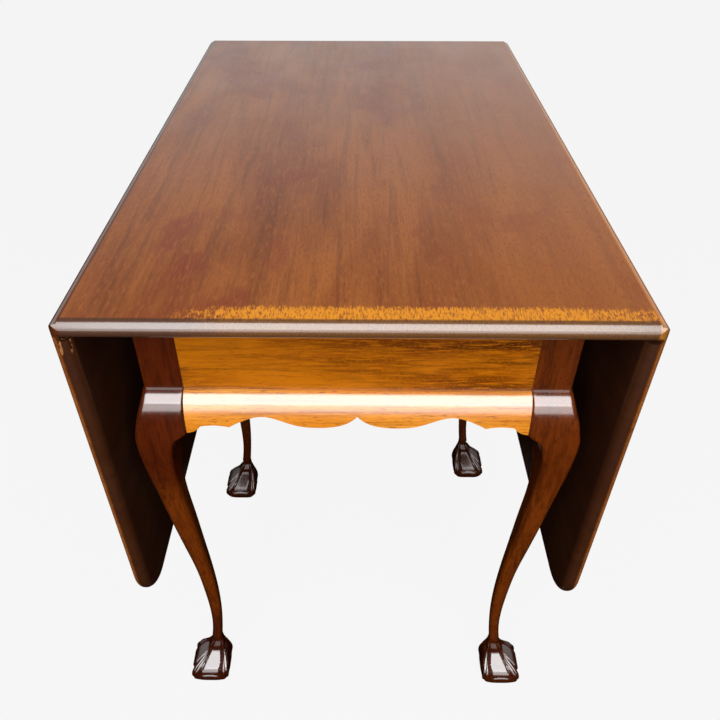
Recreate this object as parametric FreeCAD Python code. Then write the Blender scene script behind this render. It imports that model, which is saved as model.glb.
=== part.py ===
"""Six-legged mahogany drop leaf table with two swing legs, in millimetres.

X runs across the table, Y along it and Z up from the floor, with the origin on the floor under the
middle of the table.  The leaves hang, as they do when the table is put away.
"""
import FreeCAD, Part
import math
import os

V = FreeCAD.Vector

# ---- driving dimensions --------------------------------------------------------------------
TABLE_HEIGHT = 720.0
TOP_THICKNESS = 19.5
TOP_LENGTH = 899.0
TOP_CORNER_RADIUS = 14.0
JOINT_LINE_WIDTH = 542.0        # between the two hinge lines, which are the edges of the flat top
LEAF_SHY = 7.5                  # the leaves stop this far short of the ends of the top
LEAF_REACH = 453.0              # hinge pin to the free edge of a leaf
LEAF_CORNER_RADIUS = 55.0
EDGE_FLAT = 0.6                 # flat left between the two quarter rounds of an edge

PIN_RISE = 5.5                  # hinge pin above the underside of the top
OVOLO_RADIUS = 11.5
COVE_CLEARANCE = 0.5

SIDE_OVERHANG = 44.5            # joint line to the outer faces of the leg posts
END_OVERHANG = 54.0             # end of the top to the outer faces of the leg posts
POST_SIDE = 42.0
POST_EDGE_RADIUS = 1.5

RAIL_DEPTH = 106.0              # an end rail, from the top down to the knees and the shaped skirts
RAIL_THICKNESS = 24.0
RAIL_REVEAL = 0.6               # the end rails lie this far behind the posts
SKIRT_DEPTH_BEHIND = 22.0       # skirt behind the face of the rail
SKIRT_BLANK_HEIGHT = 50.0
SKIRT_LOBE_DROP = 37.7          # ledge to the lowest part of the two long lobes
SKIRT_WASTE = 5.0               # the cutter of the lower edge reaches this far below the blank

SIDE_RAIL_DEPTH = 100.5
INNER_RAIL_THICKNESS = 21.5
INNER_RAIL_INSET = 31.0         # outer face of an inner rail behind the outer faces of the posts
OUTER_RAIL_THICKNESS = 28.0
OUTER_RAIL_GAP = 1.0            # between inner rail and the swinging rail

SWING_LEG_Y = {"left": -10.0, "right": 47.0}
GATE_ROOM = 91.5                # from half the length between corner posts to the length of a gate
GATE_CLEARANCE = 1.0
GATE_PIN_RADIUS = 3.0
PIN_FIT = 0.05
FINGER_COUNT = 5
FINGER_GAP = 0.6

TENON_THICKNESS = 8.0
TENON_LENGTH = 16.0
TENON_SHOULDER = 8.0

BEARER_PLACE = 0.34             # a bearer's distance from the middle, as a share of the inner length
BEARER_THICKNESS = 22.0
BEARER_HEIGHT = 80.0
GLUE_BLOCK_LEG = 30.0
FIXING_BLOCK = (22.0, 50.0, 22.0)
SIDE_BLOCK_PLACE = 0.65         # as the bearers', for the fixing blocks near the ends of a side rail

HINGE_INSET = 119.5             # end of the top to the middle of the hinge nearest to it
HINGE_WIDTH = 60.0
KNUCKLE_RADIUS = 4.0
KNUCKLE_SPLIT = 12.0            # half the width of the leaf's knuckle
KNUCKLE_GAP = 0.4
FLAP_THICKNESS = 2.2
TOP_FLAP_REACH = 42.0
TOP_FLAP_NECK = 8.0
LEAF_FLAP_REACH = 54.0
LEAF_FLAP_NECK = 14.0
HINGE_PIN_RADIUS = 1.5

STOP_SIZE = (55.0, 14.0, 12.0)  # across the leaf, along it, and how far it stands out

SCREW = {
    "hinge": {"head": 3.2, "shank": 1.6, "length": 13.0},
    "block": {"head": 4.0, "shank": 2.0, "length": 32.0},
}

# Cushion moulding that the knees and the end skirts share: drop below the ledge, and reach beyond the
# post towards the end of the table and, on the knees alone, towards its side.
CUSHION = (
    (0.0, 2.2, 1.8),
    (4.0, 8.0, 2.8),
    (11.0, 13.4, 4.8),
    (21.0, 17.0, 8.2),
    (34.0, 19.2, 12.4),
    (SKIRT_BLANK_HEIGHT, 20.2, 16.3),
)
KNEE_ROUNDING = 0.10

# Cabriole leg below the cushion, for a ledge 594.5 up: height, reach beyond the outer faces of the post
# towards the side and the end, depth behind them at the two side corners and at the inmost corner, and
# corner rounding as a share of the section's width.
DRAWN_LEDGE = 594.5
LEG_STATIONS = (
    (535.0, 17.6, 20.5, 29.0, 33.0, 0.10),
    (521.0, 18.0, 20.4, 22.0, 27.0, 0.12),
    (500.0, 17.2, 19.6, 18.0, 22.6, 0.16),
    (480.0, 16.2, 18.2, 16.6, 20.4, 0.20),
    (460.0, 14.8, 16.2, 16.4, 18.8, 0.24),
    (430.0, 12.4, 13.0, 17.4, 18.0, 0.28),
    (380.0, 8.2, 8.2, 20.0, 20.0, 0.30),
    (310.0, 1.3, 1.3, 23.0, 23.0, 0.33),
    (250.0, -4.6, -4.6, 25.4, 25.4, 0.36),
    (190.0, -8.0, -8.0, 26.6, 26.6, 0.38),
    (140.0, -9.4, -9.4, 25.6, 25.6, 0.40),
    (100.0, -8.2, -8.2, 22.8, 22.8, 0.40),
    (72.0, -4.6, -4.6, 20.0, 20.0, 0.40),
)
# Foot: height, reach towards the side and the end, depth, corner rounding.
FOOT_STATIONS = (
    (72.0, -4.6, 20.0, 0.40),
    (58.0, -2.4, 20.2, 0.38),
    (47.0, 4.0, 21.8, 0.32),
    (37.0, 14.0, 24.4, 0.26),
    (28.0, 24.0, 26.4, 0.22),
    (20.0, 27.5, 27.2, 0.20),
    (10.0, 28.0, 27.0, 0.22),
    (0.0, 24.5, 23.5, 0.28),
)

# Lower edge of a skirt from its middle out to the shelf beside a leg: distance out and height over the
# lowest part of the lobes.  The last stretch, up to the leg, is measured back from the leg.
LOBES = ((0.0, 14.8), (16.0, 3.8), (41.8, 0.0), (65.5, 2.8), (102.2, 14.0), (125.5, 7.2), (138.0, 0.0))
SHELF = ((46.5, 0.0), (37.5, 1.9), (24.5, 2.2), (15.5, 0.9))
EAR = ((15.5, 0.9), (9.5, -5.2), (0.0, -8.0))

# ---- places worked out from them -------------------------------------------------------------
UNDERSIDE = TABLE_HEIGHT - TOP_THICKNESS
LEDGE_HEIGHT = UNDERSIDE - RAIL_DEPTH       # top of the knees and of the shaped skirts
SIDE_RAIL_BOTTOM = UNDERSIDE - SIDE_RAIL_DEPTH
PIN_X = JOINT_LINE_WIDTH / 2
PIN_Z = UNDERSIDE + PIN_RISE
COVE_RADIUS = OVOLO_RADIUS + COVE_CLEARANCE
HALF_LENGTH = TOP_LENGTH / 2
HINGE_Y = (HINGE_INSET - HALF_LENGTH, 0.0, HALF_LENGTH - HINGE_INSET)
POST_X = PIN_X - SIDE_OVERHANG
POST_Y = HALF_LENGTH - END_OVERHANG
POST_INNER_X = POST_X - POST_SIDE
POST_INNER_Y = POST_Y - POST_SIDE
GATE_LENGTH = POST_INNER_Y - GATE_ROOM      # wooden hinge pin to the middle of the swing leg
RAIL_FACE_Y = POST_Y - RAIL_REVEAL
RAIL_BACK_Y = RAIL_FACE_Y - RAIL_THICKNESS
INNER_RAIL_FACE = POST_X - INNER_RAIL_INSET
INNER_RAIL_BACK = INNER_RAIL_FACE - INNER_RAIL_THICKNESS
FLY_FACE_IN = INNER_RAIL_FACE + OUTER_RAIL_GAP
GATE_X = FLY_FACE_IN + OUTER_RAIL_THICKNESS / 2
KNUCKLE_OUT = OUTER_RAIL_THICKNESS / 2


def box(x, y, z):
    """A box between two values on each axis, given in either order."""
    low = V(min(x), min(y), min(z))
    high = V(max(x), max(y), max(z))
    return Part.makeBox(high.x - low.x, high.y - low.y, high.z - low.z, low)


def turned(shape, angle=180.0, at=V(0, 0, 0), axis=V(0, 0, 1)):
    copy = shape.copy()
    copy.rotate(at, axis, angle)
    return copy


def mirrored(shape, across_x=False, across_y=False):
    if across_x:
        shape = shape.mirror(V(0, 0, 0), V(1, 0, 0))
    if across_y:
        shape = shape.mirror(V(0, 0, 0), V(0, 1, 0))
    return shape


def prism(edges, direction):
    return Part.Face(Part.Wire(edges)).extrude(direction)


def line(a, b):
    return Part.LineSegment(a, b).toShape()


def arc(a, b, c):
    return Part.Arc(a, b, c).toShape()


def smooth(points):
    curve = Part.BSplineCurve()
    curve.interpolate(points)
    return curve.toShape()


def save(name, *shapes):
    shape = shapes[0] if len(shapes) == 1 else Part.makeCompound(list(shapes))
    shape.exportStep("parts/%s.step" % name)


# ---- screws -------------------------------------------------------------------------------------
def screw(kind, at, direction):
    """A countersunk wood screw with its head's face at a point, driven along a direction."""
    size = SCREW[kind]
    taper = size["head"] - size["shank"]
    point = size["shank"] * 2
    outline = [
        V(0, 0, 0),
        V(size["head"], 0, 0),
        V(size["shank"], 0, taper),
        V(size["shank"], 0, size["length"] - point),
        V(0, 0, size["length"]),
        V(0, 0, 0),
    ]
    solid = Part.Face(Part.makePolygon(outline)).revolve(V(0, 0, 0), V(0, 0, 1), 360)
    solid.Placement = FreeCAD.Placement(at, FreeCAD.Rotation(V(0, 0, 1), direction))
    return solid


def top_flap_screws(y):
    inner = PIN_X - TOP_FLAP_REACH
    near = PIN_X - TOP_FLAP_NECK
    third = (near - inner) / 3
    side = HINGE_WIDTH / 3
    spots = ((inner + third, -side), (inner + third, side), (near - third, 0.0))
    return [screw("hinge", V(x, y + dy, UNDERSIDE), V(0, 0, 1)) for x, dy in spots]


def leaf_flap_screws(y):
    near = PIN_X + LEAF_FLAP_NECK
    far = PIN_X + LEAF_FLAP_REACH
    third = (far - near) / 3
    side = HINGE_WIDTH / 3
    spots = ((near + third, 0.0), (far - third, -side), (far - third, side))
    return [screw("hinge", V(x, y + dy, UNDERSIDE), V(0, 0, 1)) for x, dy in spots]


# ---- rule joint hinges, right side, leaf raised -------------------------------------------------
def knuckle(y0, y1, bore):
    barrel = Part.makeCylinder(KNUCKLE_RADIUS, y1 - y0, V(PIN_X, y0, PIN_Z), V(0, 1, 0))
    hole = Part.makeCylinder(bore, y1 - y0, V(PIN_X, y0, PIN_Z), V(0, 1, 0))
    return barrel, hole


def flap_level():
    return (UNDERSIDE, UNDERSIDE + FLAP_THICKNESS)


def top_flap(y):
    half = HINGE_WIDTH / 2
    start = KNUCKLE_SPLIT + KNUCKLE_GAP
    flap = box((PIN_X - TOP_FLAP_REACH, PIN_X - TOP_FLAP_NECK), (y - half, y + half), flap_level())
    holes = []
    for low, high in ((-half, -start), (start, half)):
        neck = box((PIN_X - TOP_FLAP_NECK, PIN_X), (y + low, y + high), flap_level())
        barrel, hole = knuckle(y + low, y + high, HINGE_PIN_RADIUS)
        flap = flap.fuse([neck, barrel])
        holes.append(hole)
    return flap.cut(holes).cut(top_flap_screws(y)).removeSplitter()


def leaf_flap(y):
    half = HINGE_WIDTH / 2
    flap = box((PIN_X + LEAF_FLAP_NECK, PIN_X + LEAF_FLAP_REACH), (y - half, y + half), flap_level())
    neck = box((PIN_X, PIN_X + LEAF_FLAP_NECK), (y - KNUCKLE_SPLIT, y + KNUCKLE_SPLIT), flap_level())
    barrel, hole = knuckle(y - KNUCKLE_SPLIT, y + KNUCKLE_SPLIT, HINGE_PIN_RADIUS + PIN_FIT)
    return flap.fuse([neck, barrel]).cut(hole).cut(leaf_flap_screws(y)).removeSplitter()


def hinge_pin(y):
    start = V(PIN_X, y - HINGE_WIDTH / 2, PIN_Z)
    return Part.makeCylinder(HINGE_PIN_RADIUS, HINGE_WIDTH, start, V(0, 1, 0))


def top_recess(y):
    """What is let into the underside of the top for one hinge, with room for its leaf flap to swing."""
    half = HINGE_WIDTH / 2
    flap = box((PIN_X - TOP_FLAP_REACH, PIN_X), (y - half, y + half), flap_level())
    room = KNUCKLE_RADIUS + 2 * KNUCKLE_GAP
    channel = box((PIN_X - room, PIN_X + room), (y - half, y + half), (UNDERSIDE, PIN_Z + room))
    swing = PIN_RISE + 2 * KNUCKLE_GAP
    side = KNUCKLE_SPLIT + KNUCKLE_GAP
    neck = box((PIN_X - swing, PIN_X + COVE_RADIUS), (y - side, y + side), (UNDERSIDE, PIN_Z))
    return [flap, channel, neck]


def leaf_recess(y):
    half = HINGE_WIDTH / 2
    return box((PIN_X + COVE_RADIUS - 1, PIN_X + LEAF_FLAP_REACH), (y - half, y + half), flap_level())


# ---- top and leaves ---------------------------------------------------------------------------------
def is_upright_at(edge, x):
    ends = [v.Point for v in edge.Vertexes]
    upright = abs(ends[0].z - ends[-1].z) > TOP_THICKNESS / 2
    return upright and all(abs(p.x - x) < 1e-6 for p in ends)


def is_level_beyond(edge, x, y):
    """True on the edges of a board's two faces that lie at its ends, or beyond a line along it."""
    ends = [v.Point for v in edge.Vertexes]
    if abs(ends[0].z - ends[-1].z) > TOP_THICKNESS / 2:
        return False
    along_end = all(abs(abs(p.y) - y) < 1e-6 for p in ends)
    middle = edge.valueAt((edge.FirstParameter + edge.LastParameter) / 2)
    return along_end or middle.x > x


def board(x, half_length, corner_radius=0.0):
    """A board between two values of X with both ends rounded, and its far side too if it has corners."""
    blank = box(x, (-half_length, half_length), (UNDERSIDE, TABLE_HEIGHT))
    rounded_from = x[1] + 1.0
    if corner_radius:
        corners = [e for e in blank.Edges if is_upright_at(e, x[1])]
        blank = blank.makeFillet(corner_radius, corners)
        rounded_from = x[1] - corner_radius
    radius = (TOP_THICKNESS - EDGE_FLAT) / 2
    edges = [e for e in blank.Edges if is_level_beyond(e, rounded_from, half_length)]
    return blank.makeFillet(radius, edges)


def ovolo_end():
    """Where the ovolo runs out on the underside of the top."""
    return PIN_X + math.sqrt(OVOLO_RADIUS ** 2 - PIN_RISE ** 2)


def around_pin(radius, degrees, y=0.0):
    """A point about a hinge pin, at an angle up from level."""
    angle = math.radians(degrees)
    return V(PIN_X + radius * math.cos(angle), y, PIN_Z + radius * math.sin(angle))


def top_profile():
    """Cross section of the top, with its fillet and ovolo along both hinge lines."""
    shoulder = PIN_Z + OVOLO_RADIUS
    points = {
        "edge": V(PIN_X, 0, TABLE_HEIGHT),
        "shoulder": V(PIN_X, 0, shoulder),
        "belly": around_pin(OVOLO_RADIUS, 30.0),
        "foot": V(ovolo_end(), 0, UNDERSIDE),
    }
    left = {name: V(-p.x, 0, p.z) for name, p in points.items()}
    return [
        line(left["edge"], points["edge"]),
        line(points["edge"], points["shoulder"]),
        arc(points["shoulder"], points["belly"], points["foot"]),
        line(points["foot"], left["foot"]),
        arc(left["foot"], left["belly"], left["shoulder"]),
        line(left["shoulder"], left["edge"]),
    ]


def plan_outline():
    """The top seen from above, its four corners just rounded."""
    width = PIN_X + OVOLO_RADIUS
    outline = box((-width, width), (-HALF_LENGTH, HALF_LENGTH), (UNDERSIDE, TABLE_HEIGHT))
    uprights = [e for e in outline.Edges if is_upright_at(e, width) or is_upright_at(e, -width)]
    return outline.makeFillet(TOP_CORNER_RADIUS, uprights)


def table_top():
    beyond = PIN_X + 2 * OVOLO_RADIUS
    profile = prism([e.translated(V(0, -HALF_LENGTH, 0)) for e in top_profile()], V(0, TOP_LENGTH, 0))
    top = board((-beyond, beyond), HALF_LENGTH).common(profile).common(plan_outline())
    cutters = []
    for y in HINGE_Y:
        cutters += top_recess(y) + top_flap_screws(y)
    cutters += [turned(c) for c in cutters]
    cutters += fixing_screws()
    return top.cut(cutters).removeSplitter()


def cove_cutter():
    """The room that the ovolo and the top take out of a raised leaf."""
    gap = COVE_CLEARANCE
    height = math.sqrt(COVE_RADIUS ** 2 - gap ** 2)
    y = -TOP_LENGTH
    beyond = TOP_THICKNESS
    edge = V(PIN_X + gap, y, TABLE_HEIGHT + beyond)
    shoulder = V(PIN_X + gap, y, PIN_Z + height)
    belly = around_pin(COVE_RADIUS, 45.0, y)
    lip = V(PIN_X + COVE_RADIUS, y, PIN_Z)
    foot = V(PIN_X + COVE_RADIUS, y, UNDERSIDE - beyond)
    back_low = V(PIN_X - 2 * COVE_RADIUS, y, UNDERSIDE - beyond)
    back_high = V(PIN_X - 2 * COVE_RADIUS, y, TABLE_HEIGHT + beyond)
    edges = [
        line(edge, shoulder),
        arc(shoulder, belly, lip),
        line(lip, foot),
        line(foot, back_low),
        line(back_low, back_high),
        line(back_high, edge),
    ]
    return prism(edges, V(0, 2 * TOP_LENGTH, 0))


def raised_leaf():
    blank = board((PIN_X - OVOLO_RADIUS, PIN_X + LEAF_REACH), HALF_LENGTH - LEAF_SHY, LEAF_CORNER_RADIUS)
    leaf = blank.cut(cove_cutter())
    cutters = []
    for y in HINGE_Y:
        cutters += [leaf_recess(y)] + leaf_flap_screws(y)
    return leaf.cut(cutters)


def raised_stop(side):
    """Block on the underside of a leaf that the swing leg comes up to when it is out.

    It is drawn for the right-hand leaf, whose swing leg opens towards the near end.  The left one is
    the same thing turned half round with its leaf.
    """
    width, length, depth = STOP_SIZE
    x = GATE_X + GATE_LENGTH
    away = 1 if side == "left" else -1
    start = away * gate_pin_y(side) + (POST_X - GATE_X) + GATE_CLEARANCE
    return box((x - width / 2, x + width / 2), (-start - length, -start), (UNDERSIDE - depth, UNDERSIDE))


def hung(shape):
    """Right-hand leaf pieces turned down about the hinge pin."""
    return turned(shape, 90.0, V(PIN_X, 0, PIN_Z), V(0, 1, 0))


# ---- legs -----------------------------------------------------------------------------------------------
def rounded_outline(corners, radius):
    """A closed wire round some corners, each rounded with an arc."""
    stretches = []
    count = len(corners)
    for i in range(count):
        corner = corners[i]
        back = (corners[i - 1] - corner).normalize()
        on = (corners[(i + 1) % count] - corner).normalize()
        half = back.getAngle(on) / 2
        inward = (back + on).normalize()
        run = radius / math.tan(half)
        crown = corner + inward * (radius / math.sin(half) - radius)
        stretches.append((corner + back * run, crown, corner + on * run))
    edges = []
    for i in range(count):
        start, crown, end = stretches[i]
        edges.append(arc(start, crown, end))
        edges.append(line(end, stretches[(i + 1) % count][0]))
    return Part.Wire(edges)


def section(height, side, end, flank, back, rounding):
    """Section of a leg: the post's outer corner is at the origin and the table lies towards -X, -Y."""
    plan = ((side, end), (-flank, end), (-back, -back), (side, -flank))
    corners = [V(x, y, height) for x, y in plan]
    return rounded_outline(corners, (side + flank) * rounding)


def knee_sections():
    """The knee, moulded like the skirt beside it."""
    sections = []
    for drop, end, side in CUSHION:
        sections.append(section(LEDGE_HEIGHT - drop, side, end, POST_SIDE, POST_SIDE, KNEE_ROUNDING))
    return sections


def shin_sections():
    scale = LEDGE_HEIGHT / DRAWN_LEDGE
    return [section(height * scale, *rest) for height, *rest in LEG_STATIONS]


def foot_sections():
    scale = LEDGE_HEIGHT / DRAWN_LEDGE
    sections = []
    for height, reach, depth, rounding in FOOT_STATIONS:
        sections.append(section(height * scale, reach, reach, depth, depth, rounding))
    return sections


def cabriole():
    leg = Part.makeLoft(knee_sections() + shin_sections(), True, False)
    foot = Part.makeLoft(foot_sections(), True, False)
    return leg.fuse(foot)


def post(top):
    block = box((-POST_SIDE, 0), (-POST_SIDE, 0), (LEDGE_HEIGHT, top))
    uprights = [e for e in block.Edges if abs(e.Vertexes[0].Z - e.Vertexes[-1].Z) > 1]
    return block.makeFillet(POST_EDGE_RADIUS, uprights)


def corner_leg(side_x, side_y):
    leg = cabriole().fuse(post(UNDERSIDE))
    leg = mirrored(leg, side_x < 0, side_y < 0)
    leg.translate(V(side_x * POST_X, side_y * POST_Y, 0))
    return leg.cut(all_tenons()).removeSplitter()


def swing_leg(side):
    """The leg of one gate, its post notched behind to pass the inner rail."""
    top = UNDERSIDE - GATE_CLEARANCE
    leg = cabriole().fuse(post(top))
    notch_depth = POST_SIDE - (POST_X - FLY_FACE_IN)
    notch_z = (SIDE_RAIL_BOTTOM - 2 * GATE_CLEARANCE, TABLE_HEIGHT)
    notch = box((-POST_SIDE - 1, notch_depth - POST_SIDE), (-POST_SIDE - 1, 1), notch_z)
    leg = mirrored(leg.cut(notch), False, True)
    leg.translate(V(POST_X, SWING_LEG_Y[side] - POST_SIDE / 2, 0))
    leg = leg.cut(gate_tenon(side))
    return mirrored(leg, across_x=(side == "left")).removeSplitter()


# ---- end rails and skirts ----------------------------------------------------------------------------
def tenon_y(face):
    """Front and back of a tenon behind a face across the end of the table."""
    middle = face - RAIL_THICKNESS / 2
    return (middle - TENON_THICKNESS / 2, middle + TENON_THICKNESS / 2)


def end_rail_tenons():
    z = (LEDGE_HEIGHT + TENON_SHOULDER, UNDERSIDE - TENON_SHOULDER)
    reach = POST_INNER_X + TENON_LENGTH
    return box((-reach, reach), tenon_y(RAIL_FACE_Y), z)


def skirt_tenons():
    z = (LEDGE_HEIGHT - SKIRT_LOBE_DROP + TENON_SHOULDER / 2, LEDGE_HEIGHT - TENON_SHOULDER / 2)
    reach = POST_INNER_X + TENON_LENGTH
    return box((-reach, reach), tenon_y(RAIL_FACE_Y), z)


def end_rail():
    body = box((-POST_INNER_X, POST_INNER_X), (RAIL_BACK_Y, RAIL_FACE_Y), (LEDGE_HEIGHT, UNDERSIDE))
    return body.fuse(end_rail_tenons()).removeSplitter()


def skirt_blank():
    """The moulded bar below an end rail, a cushion in front and flat behind."""
    x = -POST_INNER_X
    back = RAIL_FACE_Y - SKIRT_DEPTH_BEHIND
    front = [V(x, POST_Y + reach, LEDGE_HEIGHT - drop) for drop, reach, _ in CUSHION]
    low = front[-1].z
    edges = [
        line(V(x, back, LEDGE_HEIGHT), front[0]),
        smooth(front),
        line(front[-1], V(x, back, low)),
        line(V(x, back, low), V(x, back, LEDGE_HEIGHT)),
    ]
    return prism(edges, V(2 * POST_INNER_X, 0, 0))


def scallop():
    """The lower edge of a skirt from its middle point out to a leg: distance out and height."""
    dip = LEDGE_HEIGHT - SKIRT_LOBE_DROP
    scale = (POST_INNER_X - SHELF[0][0]) / LOBES[-1][0]
    lobes = [(out * scale, dip + rise) for out, rise in LOBES]
    shelf = [(POST_INNER_X - back, dip + rise) for back, rise in SHELF]
    ear = [(POST_INNER_X - back, dip + rise) for back, rise in EAR]
    return lobes, shelf, ear


def scallop_cutter():
    y = POST_Y - POST_SIDE
    low = LEDGE_HEIGHT - SKIRT_BLANK_HEIGHT - SKIRT_WASTE
    edges = []
    for side in (1, -1):
        for stretch in scallop():
            edges.append(smooth([V(side * x, y, z) for x, z in stretch]))
    last = scallop()[2][-1]
    right = V(last[0], y, last[1])
    left = V(-last[0], y, last[1])
    edges += [
        line(right, V(right.x, y, low)),
        line(V(right.x, y, low), V(left.x, y, low)),
        line(V(left.x, y, low), left),
    ]
    wire = Part.Wire(Part.__sortEdges__(edges))
    return Part.Face(wire).extrude(V(0, 2 * POST_SIDE, 0))


def end_skirt():
    """The skirt of the far end, scribed to the knees on both sides of it."""
    knee = cabriole()
    knee.translate(V(POST_X, POST_Y, 0))
    skirt = skirt_blank().cut(scallop_cutter()).cut([knee, mirrored(knee, across_x=True)])
    return skirt.fuse(skirt_tenons()).removeSplitter()


# ---- side rails and gates, right side ----------------------------------------------------------------
def gate_pin_y(side):
    """The left gate is hinged towards the far end and the right one towards the near end."""
    away = 1 if side == "left" else -1
    return SWING_LEG_Y[side] + away * GATE_LENGTH


def rail_tenon(x, y_from, y_to, z):
    middle = sum(x) / 2
    half = TENON_THICKNESS / 2
    return box((middle - half, middle + half), (y_from, y_to), z)


def side_tenon_z():
    return (SIDE_RAIL_BOTTOM + TENON_SHOULDER, UNDERSIDE - TENON_SHOULDER)


def inner_tenons():
    reach = POST_INNER_Y + TENON_LENGTH
    x = (POST_INNER_X, INNER_RAIL_FACE)
    return rail_tenon(x, -reach, reach, side_tenon_z())


def inner_side_rail():
    z = (SIDE_RAIL_BOTTOM, UNDERSIDE)
    body = box((INNER_RAIL_BACK, INNER_RAIL_FACE), (-POST_INNER_Y, POST_INNER_Y), z)
    return body.fuse(inner_tenons()).removeSplitter()


def outer_x():
    """Across a fixed outer rail, which is glued to the inner rail."""
    return (INNER_RAIL_FACE, GATE_X + KNUCKLE_OUT)


def outer_tenon(end):
    """Tenon of an outer rail into a corner post, at the end of the table that the sign names."""
    x = (GATE_X - TENON_THICKNESS / 2, GATE_X + TENON_THICKNESS / 2)
    return rail_tenon(x, end * (POST_INNER_Y - 1), end * (POST_INNER_Y + TENON_LENGTH), side_tenon_z())


def finger_levels(gap):
    """Heights of the fingers of the wooden hinge, bottom to top."""
    low = SIDE_RAIL_BOTTOM + 2 * GATE_CLEARANCE
    high = UNDERSIDE - GATE_CLEARANCE
    step = (high - low) / FINGER_COUNT
    return [(low + i * step + gap / 2, low + (i + 1) * step - gap / 2) for i in range(FINGER_COUNT)]


def hinged_end(side, away, first, bore):
    """Fingers of one rail at the gate pin; the rail lies on the side that the sign says."""
    y = gate_pin_y(side)
    solids = []
    for low, high in finger_levels(FINGER_GAP)[first::2]:
        x = (GATE_X - KNUCKLE_OUT, GATE_X + KNUCKLE_OUT)
        root = box(x, (y, y + away * finger_root()), (low, high))
        tip = Part.makeCylinder(KNUCKLE_OUT, high - low, V(GATE_X, y, low))
        solids += [root, tip]
    hole = Part.makeCylinder(bore, TABLE_HEIGHT, V(GATE_X, y, 0))
    return solids, hole


def finger_root():
    """From the pin to the solid part of either rail."""
    return KNUCKLE_OUT + GATE_CLEARANCE


def fly_direction(side):
    """Sign of Y from the gate pin towards the swing leg."""
    return -1 if side == "left" else 1


def gate_tenon(side):
    toward = fly_direction(side)
    face = SWING_LEG_Y[side] - toward * POST_SIDE / 2
    x = (GATE_X - TENON_THICKNESS / 2, GATE_X + TENON_THICKNESS / 2)
    z = (finger_levels(0)[0][0] + TENON_SHOULDER, finger_levels(0)[-1][1] - TENON_SHOULDER)
    return rail_tenon(x, face - toward, face + toward * TENON_LENGTH, z)


def fly_rail(side):
    toward = fly_direction(side)
    start = gate_pin_y(side) + toward * finger_root()
    face = SWING_LEG_Y[side] - toward * POST_SIDE / 2
    z = (finger_levels(0)[0][0], finger_levels(0)[-1][1])
    body = box((GATE_X - KNUCKLE_OUT, GATE_X + KNUCKLE_OUT), (start, face), z)
    fingers, hole = hinged_end(side, toward, 1, GATE_PIN_RADIUS + PIN_FIT)
    rail = body.fuse(fingers + [gate_tenon(side)]).cut(hole)
    return mirrored(rail, across_x=(side == "left")).removeSplitter()


def hinge_rail(side):
    """Fixed outer rail that carries the other half of the wooden hinge."""
    toward = fly_direction(side)
    start = gate_pin_y(side) - toward * finger_root()
    z = (SIDE_RAIL_BOTTOM, UNDERSIDE)
    body = box(outer_x(), (start, -toward * POST_INNER_Y), z)
    fingers, hole = hinged_end(side, -toward, 0, GATE_PIN_RADIUS)
    rail = body.fuse(fingers + [outer_tenon(-toward)]).cut(hole)
    return mirrored(rail, across_x=(side == "left")).removeSplitter()


def outer_side_rail(side):
    """Fixed outer rail between the closed swing leg and the corner leg beyond it."""
    toward = fly_direction(side)
    start = SWING_LEG_Y[side] + toward * (POST_SIDE / 2 + GATE_CLEARANCE)
    body = box(outer_x(), (start, toward * POST_INNER_Y), (SIDE_RAIL_BOTTOM, UNDERSIDE))
    rail = body.fuse(outer_tenon(toward))
    return mirrored(rail, across_x=(side == "left")).removeSplitter()


def gate_pin(side):
    low = finger_levels(FINGER_GAP)[0][0]
    high = finger_levels(FINGER_GAP)[-1][1]
    pin = Part.makeCylinder(GATE_PIN_RADIUS, high - low, V(GATE_X, gate_pin_y(side), low))
    return mirrored(pin, across_x=(side == "left"))


def all_tenons():
    """Every tenon that enters a corner post."""
    ends = [end_rail_tenons(), skirt_tenons()]
    sides = [inner_tenons(), outer_tenon(1), outer_tenon(-1)]
    tenons = ends + [mirrored(t, across_y=True) for t in ends]
    return tenons + sides + [mirrored(t, across_x=True) for t in sides]


# ---- inside the frame ---------------------------------------------------------------------------------
def cross_bearer():
    middle = POST_INNER_Y * BEARER_PLACE
    y = (middle - BEARER_THICKNESS / 2, middle + BEARER_THICKNESS / 2)
    z = (SIDE_RAIL_BOTTOM + TENON_SHOULDER, SIDE_RAIL_BOTTOM + TENON_SHOULDER + BEARER_HEIGHT)
    return box((-INNER_RAIL_BACK, INNER_RAIL_BACK), y, z)


def corner_block():
    """Triangular glue block between an end rail and an inner side rail."""
    low = SIDE_RAIL_BOTTOM + TENON_SHOULDER
    x = INNER_RAIL_BACK
    y = RAIL_BACK_Y
    leg = GLUE_BLOCK_LEG
    corners = [V(x, y, low), V(x - leg, y, low), V(x, y - leg, low), V(x, y, low)]
    return Part.Face(Part.makePolygon(corners)).extrude(V(0, 0, BEARER_HEIGHT))


def fixing_spots():
    """Middle of each fixing block, and whether it lies along a side rail."""
    reach = FIXING_BLOCK[0] / 2
    outer = POST_INNER_Y * SIDE_BLOCK_PLACE
    spots = []
    for sign in (1, -1):
        spots += [(sign * (INNER_RAIL_BACK - reach), y, True) for y in (-outer, 0.0, outer)]
        spots.append((0.0, sign * (RAIL_BACK_Y - reach), False))
    return spots


def fixing_screws():
    z = UNDERSIDE - FIXING_BLOCK[2]
    return [screw("block", V(x, y, z), V(0, 0, 1)) for x, y, _ in fixing_spots()]


def fixing_blocks():
    across, along, tall = FIXING_BLOCK
    z = (UNDERSIDE - tall, UNDERSIDE)
    blocks = []
    for (x, y, on_side), driven in zip(fixing_spots(), fixing_screws()):
        width, length = (across, along) if on_side else (along, across)
        block = box((x - width / 2, x + width / 2), (y - length / 2, y + length / 2), z)
        blocks.append(block.cut(driven))
    return blocks


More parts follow.
